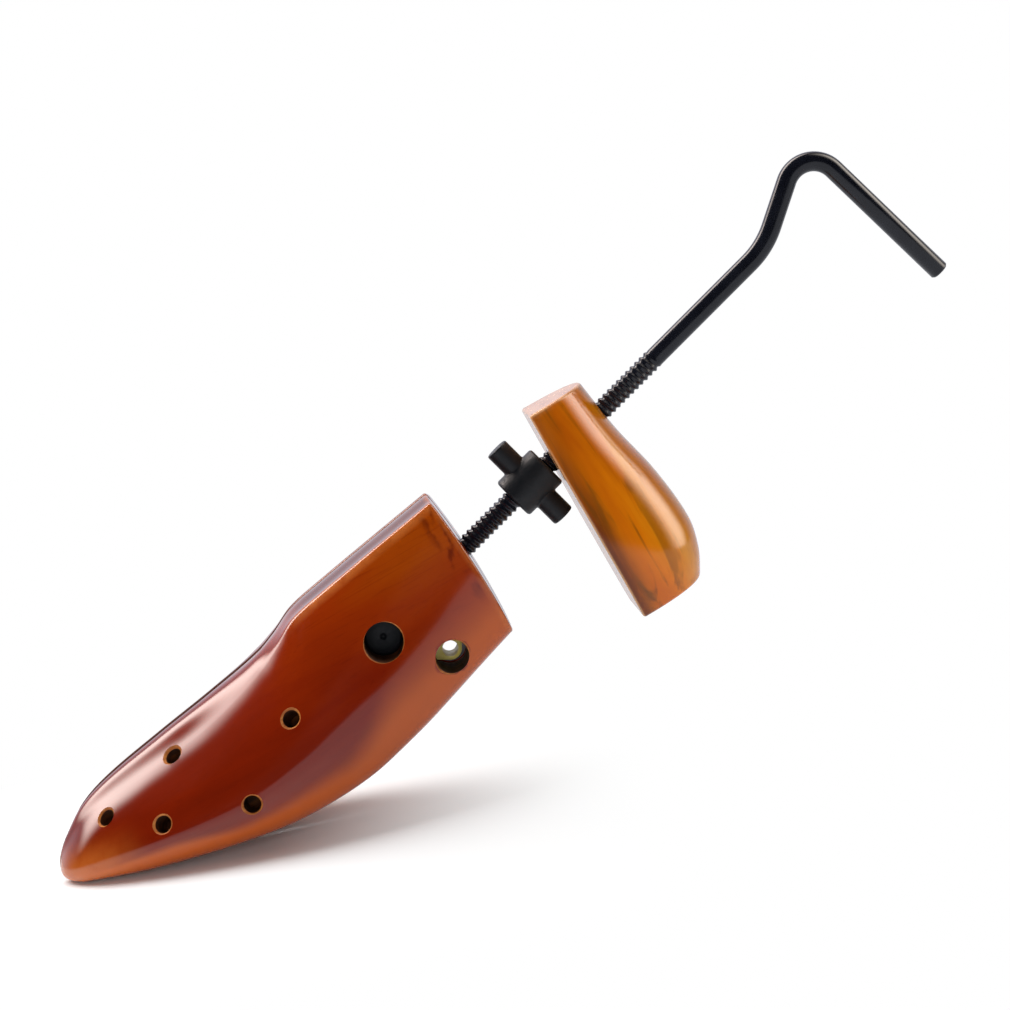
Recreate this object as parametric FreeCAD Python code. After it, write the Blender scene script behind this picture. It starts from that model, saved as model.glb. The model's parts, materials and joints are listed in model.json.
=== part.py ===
import FreeCAD, Part
import math
import os

# Two-way wooden shoe stretcher. +X runs from the toe to the heel, +Z is up.
# Sizes are in millimetres and degrees. X starts at the forepart's flat rear face.

# Forepart, shaped like the front of a foot and split down its middle
last_length = 158.6
ball_back = 77.0
ball_half_width = 31.5
rear_half_width = 19.0
nose_length = 8.0
nose_rise = 3.4
nose_drop = 3.6
sole_edge_round = 4.0
split_edge_round = 1.4
top_half_width = 14.0
top_crown = 1.6
instep_start = 74.0
shoulder_fill_start = 105.0
instep_end = 52.0
rear_bulge = 2.0
rear_bulge_height = 29.0
rear_bulge_radius = 245.0
rest_gap = 3.0

# Lines of the forepart, from its toe to its rear: share of its length, and height
sole = [(0.0, 16.6), (0.17, 9.3), (0.33, 3.8), (0.45, 0.7), (0.54, 0.0), (0.64, 0.8), (0.72, 3.2)]
sole += [(0.80, 6.3), (1.0, 16.0)]
ridge = [(0.0, 24.0), (0.042, 28.8), (0.10, 34.9), (0.17, 38.6), (0.30, 42.3), (0.43, 45.5), (0.55, 49.0)]
ridge += [(0.60, 51.9), (0.65, 55.7), (0.72, 58.1), (1.0, 65.7)]
# Shares of the length where the forepart's sections stand
toe_stations = [0.001, 0.007, 0.022, 0.048, 0.08, 0.13, 0.20, 0.28, 0.36, 0.44]
instep_stations = [0.52, 0.57, 0.61, 0.65, 0.71, 0.80, 0.90]

# Shape of a section, as shares of its half width, of its height and of its side's height
sole_share = 0.76
round_shoulder = 0.42
round_shoulder_drop = 0.15
side_swell_low = (0.20, 0.26)
side_swell_high = (0.58, 0.66)

# Sockets for the loose stretching plugs: share of the forepart's length from its toe, and height
plug_sockets = [(0.1488, 30.2), (0.3197, 36.3), (0.2503, 21.5), (0.4212, 13.9), (0.5637, 30.2)]
socket_radius = 2.7
socket_depth = 8.0
socket_chamfer = 0.7

# Rod, with its screw thread drawn as a plain cylinder over the crests
rod_tilt = 15.1
rod_radius = 3.1
thread_radius = 3.4
thread_front = -18.0
thread_end = 120.3
thread_chamfer = 0.8
neck_start = 168.4
neck_lean = 27.0
neck_radius = 28.0
grip_station = 200.0
grip_end = -44.6
grip_lean = 2.4
grip_bend_radius = 9.0
grip_chamfer = 0.6
journal_radius = 2.5
journal_length = 10.0
groove_radius = 1.7
groove_width = 2.3

# Cross nut that the rod turns in
nut_back = 33.8
nut_height = 35.2
cross_nut_radius = 6.0
cross_nut_length = 28.0
cross_nut_chamfer = 0.8
centre_dimple = 1.1
cross_hole_chamfer = 0.7

# Yoke: two cheeks on the cross nut, with a see-through eye below and behind it
cheek_spacing = 8.2
cheek_thickness = 1.5
cheek_front_radius = 8.5
eye_back = 18.3
eye_height = 20.2
eye_radius = 2.5
eye_land = 1.1
tail_back = 7.0
tail_height = 42.0
tail_radius = 4.5
web_length = 11.0
web_gap = 1.5
spacer_wall = 0.7
eye_hole_radius = 5.2

# Spreading wedge on the rod's front end, and the ramp plates it slides between
spread_per_advance = 0.3
wedge_length = 24.0
wedge_rear_half_width = 9.7
wedge_height = 13.0
nose_chamfer_length = 2.5
swivel_pin_radius = 1.0
ramp_play = 0.1
ramp_plate_thickness = 1.5
ramp_plate_height = 14.0
ramp_plate_rear = -12.0
close_travel = 1.2

# Guide pin that keeps the two halves in line, at a share of the forepart's length from its toe
guide_pin_share = 0.319
guide_pin_height = 22.5
guide_pin_radius = 2.5
guide_pin_set = 12.0
guide_pin_reach = 21.5

# Return springs: share of the forepart's length, height, and the side that their pins are driven from
springs = {"front": (0.174, 19.0, -1), "rear": (0.8424, 53.5, 1)}
spring_radius = 2.8
spring_wire_radius = 0.4
spring_half_length = 8.0
spring_loop_radius = 2.0
spring_bore_radius = 3.5
anchor_pin_radius = 0.9
anchor_pin_half_length = 4.0
anchor_pin_sink = 1.5

# Length nut with two finger pegs
length_nut_radius = 7.2
length_nut_length = 15.0
length_nut_chamfer = 0.9
peg_radius = 3.8
peg_reach = 15.0
peg_round = 0.8

# Heel block: height of a section, its depth and its half width
heel_gap = 38.5
heel_sections = [(0.0, 22.5, 17.0), (8.0, 26.4, 20.6), (18.0, 28.4, 22.0), (36.0, 26.5, 21.6)]
heel_sections += [(54.0, 22.2, 20.0), (71.8, 19.4, 17.5)]
heel_edge_round = 2.2
heel_bore_clearance = 0.4

# Clearances
running_clearance = 0.05
seat_clearance = 0.3
pocket_clearance = 1.0

V = FreeCAD.Vector
parts = {}
ball_share = 1 - ball_back / last_length
nose_share = nose_length / last_length
skin_degree = 2
nut_center = V(-nut_back, 0, nut_height)


def on_rod(shape):
    """Carry a shape from the rod's own frame, with X along the rod from the cross nut, to the model."""
    placed = shape.copy()
    placed.rotate(V(), V(0, 1, 0), -rod_tilt)
    placed.translate(nut_center)
    return placed


def along_y(radius, x, z, y_low, y_high):
    return Part.makeCylinder(radius, y_high - y_low, V(x, y_low, z), V(0, 1, 0))


def along_rod(radius, low, high):
    return Part.makeCylinder(radius, high - low, V(low, 0, 0), V(1, 0, 0))


def mirrored(shape):
    return shape.mirror(V(), V(0, 1, 0))


def segment(start, end):
    return Part.LineSegment(start, end).toShape()


def bezier(*poles):
    curve = Part.BezierCurve()
    curve.setPoles(list(poles))
    return curve.toShape()


def ease(low, high, value):
    share = min(max((value - low) / (high - low), 0.0), 1.0)
    return share * share * (3 - 2 * share)


def mix(first, second, share):
    return first + (second - first) * share


def smooth_value(points, at):
    """A smooth curve through a few points, read at one place."""
    slopes = []
    for i in range(len(points)):
        before = points[max(i - 1, 0)]
        after = points[min(i + 1, len(points) - 1)]
        slopes.append((after[1] - before[1]) / (after[0] - before[0]))
    i = 0
    while i < len(points) - 2 and at > points[i + 1][0]:
        i += 1
    (a, low), (b, high) = points[i], points[i + 1]
    span = b - a
    t = (at - a) / span
    return (
        low * (2 * t**3 - 3 * t**2 + 1)
        + slopes[i] * span * (t**3 - 2 * t**2 + t)
        + high * (3 * t**2 - 2 * t**3)
        + slopes[i + 1] * span * (t**3 - t**2)
    )


def nose(share):
    """1 at the toe's tip, falling to 0 round a quarter of an ellipse."""
    if share >= nose_share:
        return 0.0
    return 1 - math.sqrt(1 - (1 - share / nose_share) ** 2)


def sole_height(share):
    return smooth_value(sole, share) + nose_rise * nose(share)


def ridge_height(share):
    return smooth_value(ridge, share) - nose_drop * nose(share)


def half_width(share):
    if share < ball_share:
        return ball_half_width * math.sqrt(1 - (1 - share / ball_share) ** 2)
    turn = math.pi * (share - ball_share) / (1 - ball_share)
    return mix(rear_half_width, ball_half_width, (1 + math.cos(turn)) / 2)


def station(share):
    """Place along the forepart of a share of its length."""
    return (share - 1) * last_length


def last_section(share):
    """One cross section of a half: sole, rounded edge, side, top and the rounded edge of the split face."""
    x = station(share)
    low = sole_height(share)
    high = ridge_height(share)
    wide = half_width(share)
    crisp = ease(-instep_start, -instep_end, x)
    full = ease(-shoulder_fill_start, -instep_end, x)
    shoulder = mix(round_shoulder * wide, top_half_width, full)
    drop = mix(round_shoulder_drop * (high - low), top_crown, full)
    sole_half = sole_share * wide
    side_height = high - drop - low
    bulge = (wide - (sole_half + shoulder) / 8) / 0.75
    lower = mix(*side_swell_low, full)
    upper = mix(*side_swell_high, full)
    edge_round = min(sole_edge_round, 0.2 * (high - low), 0.3 * sole_half)
    split_round = min(split_edge_round, 0.12 * (high - low), 0.25 * shoulder)

    def at(y, z):
        return V(x, y, z)

    corner = at(sole_half, low)
    low_handle = at(bulge, low + lower * side_height)
    high_handle = at(bulge, low + upper * side_height)
    sole_end = at(sole_half - edge_round, low)
    side_start = corner + (low_handle - corner).normalize() * edge_round
    top_edge = at(shoulder, high - drop)
    rise = (1 - crisp) * (1 - upper) * side_height / (bulge - shoulder)
    reach = 0.45 * shoulder
    top_handle = at(shoulder - reach, high - drop + rise * reach)
    split_top = at(split_round, high)
    return Part.Wire(
        [
            segment(at(0, low), sole_end),
            bezier(sole_end, corner, side_start),
            bezier(side_start, low_handle, high_handle, top_edge),
            bezier(top_edge, top_handle, at(0.5 * shoulder, high), split_top),
            bezier(split_top, at(0, high), at(0, high - split_round)),
        ]
    )


def last_blank():
    """A half without its holes: a skin through the sections, closed by its flat split face and its ends."""
    stations = toe_stations + instep_stations + [1 + 2 * rear_bulge / last_length]
    sections = [last_section(share) for share in stations]
    skin = Part.makeLoft(sections, False, False, False, skin_degree)
    flat_end = split_edge_round / 100
    rims = [edge for edge in skin.Edges if edge.BoundBox.YMax < flat_end]
    faces = list(skin.Faces)
    ends = []
    for x in (station(stations[0]), station(stations[-1])):
        rim = [e for e in skin.Edges if abs(e.BoundBox.XMin - x) + abs(e.BoundBox.XMax - x) < flat_end]
        on_split = [v.Point for edge in rim for v in edge.Vertexes if abs(v.Y) < flat_end]
        ends.append(segment(*on_split))
        faces.append(Part.Face(Part.Wire(Part.__sortEdges__(rim + ends[-1:]))))
    faces.append(Part.Face(Part.Wire(Part.__sortEdges__(rims + ends))))
    shell = Part.Shell(faces)
    shell.sewShape()
    blank = Part.Solid(shell)
    if blank.Volume < 0:
        blank.reverse()
    bulge_center = rear_bulge - rear_bulge_radius
    return blank.common(along_y(rear_bulge_radius, bulge_center, rear_bulge_height, 0, 2 * ball_half_width))


def surface_at(solid, x, z):
    """The point of the outer surface beside a place on the split face, and the way it faces."""
    ray = segment(V(x, 0.1, z), V(x, 3 * ball_half_width, z))
    point = V(x, solid.common(ray).BoundBox.YMax, z)
    face = min(solid.Faces, key=lambda f: f.distToShape(Part.Vertex(point))[0])
    return point, face.normalAt(*face.Surface.parameter(point))


def chamfer_cone(radius, chamfer, mouth, outward):
    return Part.makeCone(radius, radius + 4 * chamfer, 4 * chamfer, mouth - outward * chamfer, outward)


def circle_hull(circles, y_low, y_high):
    """A plate whose outline wraps three or more circles, listed in turn, given as x, z and radius."""
    normals = []
    for i, (x, z, radius) in enumerate(circles):
        x_next, z_next, radius_next = circles[(i + 1) % len(circles)]
        length = math.hypot(x_next - x, z_next - z)
        toward = (math.atan2(z_next - z, x_next - x)) - math.acos((radius - radius_next) / length)
        normals.append(toward)
    edges = []
    for i, (x, z, radius) in enumerate(circles):
        start, end = normals[i - 1], normals[i]
        while end < start:
            end += 2 * math.pi

        def rim(angle):
            return V(x + radius * math.cos(angle), y_low, z + radius * math.sin(angle))

        x_next, z_next, radius_next = circles[(i + 1) % len(circles)]
        edges.append(Part.Arc(rim(start), rim((start + end) / 2), rim(end)).toShape())
        landing = V(x_next + radius_next * math.cos(end), y_low, z_next + radius_next * math.sin(end))
        edges.append(segment(rim(end), landing))
    return Part.Face(Part.Wire(edges)).extrude(V(0, y_high - y_low, 0))


def rod_plane_plate(points, half_height):
    """A prism with its outline in the rod's X and Y, as tall as asked across the rod."""
    corners = [V(s, y, -half_height) for s, y in points]
    outline = Part.makePolygon(corners + corners[:1])
    return Part.Face(outline).extrude(V(0, 0, 2 * half_height))


def ramp_offset(at_rod):
    """Distance from the middle to a half's ramp, beside a station on the rod, as the part is shown."""
    slope_play = ramp_play / math.cos(math.atan(spread_per_advance))
    return wedge_rear_half_width + spread_per_advance * (at_rod - thread_front) + slope_play


plate_across = ramp_plate_thickness / math.cos(math.atan(spread_per_advance))
ramp_meets_split = thread_front - (ramp_offset(thread_front) - rest_gap / 2) / spread_per_advance
pocket_tip = ramp_meets_split - (rest_gap / 2 + plate_across) / spread_per_advance
cheek_outer = cheek_spacing / 2 + cheek_thickness
cheek_circles = [
    (-nut_back, nut_height, cheek_front_radius),
    (-eye_back, eye_height, eye_radius + eye_land),
    (-tail_back, tail_height, tail_radius),
]


def last_half():
    """The half on the +Y side with all that both halves share, closed up to the middle plane."""
    blank = last_blank()
    cutters = []
    for share, height in plug_sockets:
        mouth, outward = surface_at(blank, station(share), height)
        start = mouth - outward * socket_depth
        cutters.append(Part.makeCylinder(socket_radius, socket_depth + 4 * socket_chamfer, start, outward))
        cutters.append(chamfer_cone(socket_radius, socket_chamfer, mouth, outward))
    for x, z, radius in (
        (-nut_back, nut_height, cross_nut_radius + running_clearance),
        (-eye_back, eye_height, eye_hole_radius),
    ):
        mouth, outward = surface_at(blank, x, z)
        cutters.append(along_y(radius, x, z, -1, 2 * ball_half_width))
        cutters.append(chamfer_cone(radius, cross_hole_chamfer, mouth, V(0, 1, 0)))
    pocket_circles = [(x, z, radius + pocket_clearance) for x, z, radius in cheek_circles]
    pocket_depth = cheek_outer + close_travel + seat_clearance - rest_gap / 2
    cutters.append(circle_hull(pocket_circles, -pocket_depth, pocket_depth))
    channel_radius = thread_radius + close_travel + seat_clearance
    blank = blank.cut(cutters)
    blank.translate(V(0, rest_gap / 2, 0))
    inner = [on_rod(along_rod(channel_radius, thread_front, 2 * nut_back))]
    pocket_rear = ramp_plate_rear + seat_clearance
    pocket_half = ramp_offset(pocket_rear) + plate_across
    pocket_outline = [(pocket_tip, 0), (pocket_rear, 0), (pocket_rear, pocket_half)]
    inner.append(on_rod(rod_plane_plate(pocket_outline, ramp_plate_height / 2 + running_clearance)))
    for share, height, way in springs.values():
        depth = spring_loop_center + spring_loop_radius + pocket_clearance
        inner.append(along_y(spring_bore_radius, station(share), height, 0, depth))
        inner.append(anchor_hole(share, height, way))
    return blank.cut(inner)


spring_loop_center = spring_half_length + spring_loop_radius
spring_hook = spring_loop_radius - spring_wire_radius - anchor_pin_radius - seat_clearance
spring_anchor = spring_loop_center + spring_hook


def anchor_span(share, height, way):
    """Lower and upper end of a spring's anchor pin, driven in from the top or from the sole."""
    if way > 0:
        return height - anchor_pin_half_length, ridge_height(share) - top_crown - anchor_pin_sink
    return sole_height(share) + anchor_pin_sink, height + anchor_pin_half_length


def anchor_hole(share, height, way):
    low, high = anchor_span(share, height, way)
    low -= 3 * anchor_pin_sink * (way < 0)
    high += 3 * anchor_pin_sink * (way > 0)
    return Part.makeCylinder(anchor_pin_radius, high - low, V(station(share), spring_anchor, low))


def make_halves():
    right = last_half()
    left = mirrored(right)
    guide = (station(guide_pin_share), guide_pin_height)
    face = rest_gap / 2
    set_end = face + guide_pin_set
    parts["right_last_half"] = right.cut(along_y(guide_pin_radius, *guide, 0, set_end))
    bore_end = guide_pin_reach + close_travel * 2 + seat_clearance
    bore = along_y(guide_pin_radius + running_clearance, *guide, -bore_end, 0)
    parts["left_last_half"] = left.cut(bore)
    parts["guide_pin"] = along_y(guide_pin_radius, *guide, -guide_pin_reach, set_end)


def make_cross_nut():
    half = cross_nut_length / 2
    outline = Part.makePolygon(
        [
            V(0, -half + centre_dimple, 0),
            V(centre_dimple, -half, 0),
            V(cross_nut_radius - cross_nut_chamfer, -half, 0),
            V(cross_nut_radius, -half + cross_nut_chamfer, 0),
            V(cross_nut_radius, half - cross_nut_chamfer, 0),
            V(cross_nut_radius - cross_nut_chamfer, half, 0),
            V(centre_dimple, half, 0),
            V(0, half - centre_dimple, 0),
            V(0, -half + centre_dimple, 0),
        ]
    )
    barrel = Part.Face(outline).revolve(V(), V(0, 1, 0), 360)
    bore = along_rod(thread_radius + running_clearance, -2 * cross_nut_radius, 2 * cross_nut_radius)
    parts["cross_nut"] = on_rod(barrel.cut(bore))


def make_yoke():
    inner = cheek_spacing / 2
    cheek = circle_hull(cheek_circles, inner, cheek_outer)
    seat_radius = cross_nut_radius + running_clearance
    cheek = cheek.cut(along_y(seat_radius, -nut_back, nut_height, 0, 2 * cheek_outer))
    cheek = cheek.cut(along_y(eye_radius, -eye_back, eye_height, 0, 2 * cheek_outer))
    eye = V(-eye_back, 0, eye_height)
    tail = V(-tail_back, 0, tail_height)
    run = tail - eye
    lean = math.atan2(run.x, run.z) - math.asin((eye_radius + eye_land - tail_radius) / run.Length)
    along = V(math.sin(lean), 0, math.cos(lean))
    outward = V(math.cos(lean), 0, -math.sin(lean))
    edge = eye + outward * (eye_radius + eye_land)
    rod_up = V(-math.sin(math.radians(rod_tilt)), 0, math.cos(math.radians(rod_tilt)))
    below_rod = min((nut_center - p).dot(rod_up) for p in (edge, edge - outward * cheek_thickness))
    web_top = (below_rod - thread_radius - web_gap) / along.dot(rod_up)
    web = Part.makeBox(cheek_thickness, cheek_spacing, web_length, V(-cheek_thickness, -inner, 0))
    web.rotate(V(), V(0, 1, 0), math.degrees(lean))
    web.translate(edge + along * (web_top - web_length))
    web = web.common(circle_hull(cheek_circles, -inner, inner))
    parts["yoke"] = cheek.fuse([mirrored(cheek), web]).removeSplitter()
    bore_radius = eye_radius + running_clearance
    sleeve = along_y(bore_radius + spacer_wall, -eye_back, eye_height, -inner, inner)
    bore = along_y(bore_radius, -eye_back, eye_height, -cheek_outer, cheek_outer)
    parts["yoke_spacer"] = sleeve.cut(bore)


def make_wedge():
    front = thread_front - wedge_length
    shoulder = front + nose_chamfer_length
    shoulder_half = wedge_rear_half_width - spread_per_advance * (thread_front - shoulder)
    tip_half = shoulder_half - nose_chamfer_length * 0.8
    rear_half = wedge_rear_half_width
    outline = [
        (thread_front, rear_half),
        (shoulder, shoulder_half),
        (front, tip_half),
        (front, -tip_half),
        (shoulder, -shoulder_half),
        (thread_front, -rear_half),
    ]
    wedge = rod_plane_plate(outline, wedge_height / 2)
    bore_front = thread_front - journal_length - seat_clearance
    wedge = wedge.cut(along_rod(journal_radius + running_clearance, bore_front, 0))
    pin_station = thread_front - journal_length / 2
    pins = []
    for side in (-1, 1):
        offset = side * (groove_radius + swivel_pin_radius + running_clearance)
        foot = V(pin_station, offset, -wedge_height / 2)
        pins.append(Part.makeCylinder(swivel_pin_radius, wedge_height, foot))
    parts["wedge"] = on_rod(wedge.cut(pins))
    parts["swivel_pins"] = on_rod(Part.makeCompound(pins))


def make_ramp_plates():
    rear = ramp_plate_rear
    front = ramp_meets_split
    outline = [
        (front, ramp_offset(front)),
        (rear, ramp_offset(rear)),
        (rear, ramp_offset(rear) + plate_across),
        (front, ramp_offset(front) + plate_across),
    ]
    plate = on_rod(rod_plane_plate(outline, ramp_plate_height / 2))
    parts["right_ramp_plate"] = plate
    parts["left_ramp_plate"] = mirrored(plate)


def make_springs():
    pins = {"right": [], "left": []}
    for name, (share, height, way) in springs.items():
        x = station(share)
        coil = along_y(spring_radius, x, height, -spring_half_length, spring_half_length)
        loops = []
        eyes = []
        for side in (-1, 1):
            foot = V(x, side * spring_loop_center, height - spring_wire_radius)
            wire = 2 * spring_wire_radius
            loops.append(Part.makeCylinder(spring_loop_radius + spring_wire_radius, wire, foot))
            eyes.append(Part.makeCylinder(spring_loop_radius - spring_wire_radius, wire, foot))
        parts[name + "_spring"] = coil.fuse(loops).cut(eyes).removeSplitter()
        low, high = anchor_span(share, height, way)
        for side, sign in (("right", 1), ("left", -1)):
            foot = V(x, sign * spring_anchor, low)
            pins[side].append(Part.makeCylinder(anchor_pin_radius, high - low, foot))
    for side, solids in pins.items():
        parts[side + "_spring_pins"] = Part.makeCompound(solids)


def rounded_path(points, radii):
    """Straight runs in the rod's X and Z, joined by tangent arcs at the inner points."""
    corners = [V(s, 0, n) for s, n in points]
    edges = []
    start = corners[0]
    for before, corner, after, radius in zip(corners, corners[1:], corners[2:], radii):
        come = (corner - before).normalize()
        go = (after - corner).normalize()
        turn = come.getAngle(go)
        cut = radius * math.tan(turn / 2)
        inward = (go - come).normalize()
        middle = corner + inward * (radius / math.cos(turn / 2) - radius)
        arc_start = corner - come * cut
        arc_end = corner + go * cut
        edges.append(segment(start, arc_start))
        edges.append(Part.Arc(arc_start, middle, arc_end).toShape())
        start = arc_end
    edges.append(segment(start, corners[-1]))
    return Part.Wire(edges)


def make_crank():
    rise = (grip_station - neck_start) * math.tan(math.radians(neck_lean))
    grip_tip = grip_station + (rise - grip_end) * math.tan(math.radians(grip_lean))
    path = rounded_path(
        [(thread_end, 0), (neck_start, 0), (grip_station, rise), (grip_tip, grip_end)],
        [neck_radius, grip_bend_radius],
    )
    circle = Part.Wire(Part.makeCircle(rod_radius, V(thread_end, 0, 0), V(1, 0, 0)))
    bar = path.makePipeShell([circle], True, False)
    tip = min(bar.Edges, key=lambda edge: edge.CenterOfMass.z)
    bar = bar.makeChamfer(grip_chamfer, [tip])
    thread = along_rod(thread_radius, thread_front, thread_end)
    thread = thread.makeChamfer(thread_chamfer, [e for e in thread.Edges if len(e.Vertexes) == 1])
    journal_front = thread_front - journal_length
    journal = along_rod(journal_radius, journal_front, thread_front + thread_chamfer)
    groove_low = thread_front - (journal_length + groove_width) / 2
    groove = along_rod(2 * journal_radius, groove_low, groove_low + groove_width)
    groove = groove.cut(along_rod(groove_radius, groove_low, groove_low + groove_width))
    parts["crank_rod"] = on_rod(thread.fuse([bar, journal]).cut(groove).removeSplitter())


def heel_front_station():
    """Station on the rod where the length nut's end stands just off the heel block's front face."""
    front = heel_gap + nut_back - seat_clearance
    lean = math.radians(rod_tilt)
    return (front - length_nut_radius * math.sin(lean)) / math.cos(lean)


def make_length_nut():
    end = heel_front_station()
    start = end - length_nut_length
    body = along_rod(length_nut_radius, start, end)
    body = body.makeChamfer(length_nut_chamfer, [e for e in body.Edges if len(e.Vertexes) == 1])
    middle = (start + end) / 2
    pegs = Part.makeCylinder(peg_radius, 2 * peg_reach, V(middle, 0, -peg_reach))
    pegs = pegs.makeFillet(peg_round, [e for e in pegs.Edges if len(e.Vertexes) == 1])
    bore = along_rod(thread_radius + running_clearance, start, end)
    parts["length_nut"] = on_rod(body.fuse(pegs).removeSplitter().cut(bore))


def heel_section(height, depth, wide):
    """A flat front and a rounded back, seen from above."""
    left = V(heel_gap, -wide, height)
    right = V(heel_gap, wide, height)
    back = V(heel_gap + depth, 0, height)
    side_reach = 0.62 * depth
    back_reach = 0.62 * wide
    return Part.Wire(
        [
            segment(left, right),
            bezier(right, right + V(side_reach, 0, 0), back + V(0, back_reach, 0), back),
            bezier(back, back - V(0, back_reach, 0), left + V(side_reach, 0, 0), left),
        ]
    )


def make_heel():
    sections = [heel_section(*section) for section in heel_sections]
    block = Part.makeLoft(sections, True, False, False, skin_degree)
    block = block.makeFillet(heel_edge_round, block.Edges)
    bore = along_rod(thread_radius + heel_bore_clearance, 0, 3 * nut_back + heel_gap)
    parts["heel_block"] = block.cut(on_rod(bore))


def stand_on_origin():
    """Shift every piece so that the origin is under the middle of the whole part."""
    box = Part.makeCompound(list(parts.values())).optimalBoundingBox(False, False)
    shift = V(-(box.XMin + box.XMax) / 2, 0, -box.ZMin)
    for shape in parts.values():
        shape.translate(shift)


make_halves()
make_cross_nut()
make_yoke()
make_wedge()
make_ramp_plates()
make_springs()
make_crank()
make_length_nut()
make_heel()
stand_on_origin()

os.makedirs("parts", exist_ok=True)
for node, shape in parts.items():
    shape.exportStep("parts/" + node + ".step")
    print(node, "solids", len(shape.Solids), "valid", shape.isValid(), "volume", round(shape.Volume, 1))
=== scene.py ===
import json
import math

import bmesh
import bpy
from mathutils import Matrix, Vector
from mathutils.bvhtree import BVHTree


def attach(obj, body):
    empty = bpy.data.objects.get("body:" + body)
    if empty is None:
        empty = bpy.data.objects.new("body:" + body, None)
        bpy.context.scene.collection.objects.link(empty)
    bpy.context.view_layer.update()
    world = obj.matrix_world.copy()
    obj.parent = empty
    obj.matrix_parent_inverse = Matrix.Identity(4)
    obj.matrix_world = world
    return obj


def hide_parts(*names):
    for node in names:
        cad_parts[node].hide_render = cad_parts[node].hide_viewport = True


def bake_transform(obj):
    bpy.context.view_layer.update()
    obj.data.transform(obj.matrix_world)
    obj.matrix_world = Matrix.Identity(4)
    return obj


# Shoe stretcher: split lacquered forepart, screw with crank handle, length nut and heel block

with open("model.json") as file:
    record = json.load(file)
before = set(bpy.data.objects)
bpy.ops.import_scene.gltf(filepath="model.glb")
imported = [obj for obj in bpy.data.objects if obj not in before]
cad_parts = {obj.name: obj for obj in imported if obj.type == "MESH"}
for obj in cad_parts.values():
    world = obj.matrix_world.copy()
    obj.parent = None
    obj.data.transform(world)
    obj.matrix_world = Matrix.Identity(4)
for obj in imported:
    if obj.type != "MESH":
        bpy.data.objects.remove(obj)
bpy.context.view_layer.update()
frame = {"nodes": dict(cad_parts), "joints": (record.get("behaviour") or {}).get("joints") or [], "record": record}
nodes = frame["nodes"]
joints = {joint["name"]: joint for joint in frame["joints"]}
scene = bpy.context.scene
mm = 0.001

# The rod's own frame: X along the rod from the cross nut, Z across it and up. Both frames are in mm.
rodStart = Vector(joints["crank_turn"]["pos_m"])
rodWay = Vector(joints["heel_slide"]["axis"]).normalized()
rodUp = Vector((-rodWay.z, 0, rodWay.x))
rodFrame = Matrix.Translation(rodStart) @ Matrix((rodWay, (0, 1, 0), rodUp)).transposed().to_4x4()
rodFrame = rodFrame @ Matrix.Scale(mm, 4)
nutBack, nutHeight = 33.8, 35.2
footFrame = Matrix.Translation(rodStart + Vector((nutBack, 0, -nutHeight)) * mm) @ Matrix.Scale(mm, 4)


# Small helpers

def ease(low, high, value):
    share = min(max((value - low) / (high - low), 0.0), 1.0)
    return share * share * (3 - 2 * share)


def easeFrom(mark, bounds, value):
    # the bounds are counted from the mark
    return ease(mark + bounds[0], mark + bounds[1], value)


def mix(first, second, share):
    return first + (second - first) * share


def bezier(points, t):
    while len(points) > 1:
        points = [a.lerp(b, t) for a, b in zip(points, points[1:])]
    return points[0]


def smoothValue(points, at):
    slopes = []
    for i in range(len(points)):
        before, after = points[max(i - 1, 0)], points[min(i + 1, len(points) - 1)]
        slopes.append((after[1] - before[1]) / (after[0] - before[0]))
    i = 0
    while i < len(points) - 2 and at > points[i + 1][0]:
        i += 1
    (a, low), (b, high) = points[i], points[i + 1]
    span = b - a
    t = (at - a) / span
    value = low * (2 * t**3 - 3 * t**2 + 1) + slopes[i] * span * (t**3 - 2 * t**2 + t)
    return value + high * (3 * t**2 - 2 * t**3) + slopes[i + 1] * span * (t**3 - t**2)


def skinGrid(loops, closed=True):
    # a grid laid over loops of points, row by row; a closed loop joins its last point to its first
    rows, points = len(loops), len(loops[0])
    columns = points if closed else points - 1
    bm = bmesh.new()
    bmesh.ops.create_grid(bm, x_segments=rows - 1, y_segments=columns, size=1)
    for vert in bm.verts:
        i = round((vert.co.x + 1) / 2 * (rows - 1))
        j = round((vert.co.y + 1) / 2 * columns)
        vert.co = loops[i][j % points]
    return bm


def insetLoop(loop, distance, normal):
    # every point moved inwards in the loop's own plane; the loop runs anticlockwise about normal
    made = []
    for i, point in enumerate(loop):
        along = loop[(i + 1) % len(loop)] - loop[i - 1]
        inward = normal.cross(along)
        inward = inward.normalized() if inward.length > 1e-9 else Vector()
        made.append(point + inward * distance)
    return made


def ringsIn(rim, shares):
    # copies of the rim drawn in to its middle, to close an end
    middle = sum(rim, Vector()) / len(rim)
    return [[middle.lerp(point, share) for point in rim] for share in shares]


def spunProfile(profile, steps, bm=None):
    # (along, radius) pairs turned about X, as a new mesh or added to bm
    if bm is None:
        bm = bmesh.new()
    verts = [bm.verts.new((along, radius, 0)) for along, radius in profile]
    edges = [bm.edges.new(pair) for pair in zip(verts, verts[1:])]
    bmesh.ops.spin(bm, geom=verts + edges, cent=(0, 0, 0), axis=(1, 0, 0), angle=2 * math.pi,
                   steps=steps, use_merge=True, use_duplicate=False)
    return bm


def turnAndMove(bm, verts, axis, move):
    # a quarter turn, then the move
    bmesh.ops.rotate(bm, verts=verts, cent=(0, 0, 0), matrix=Matrix.Rotation(math.pi / 2, 3, axis))
    bmesh.ops.translate(bm, verts=verts, vec=move)


def vertsOf(geom):
    return [item for item in geom if isinstance(item, bmesh.types.BMVert)]


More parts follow.
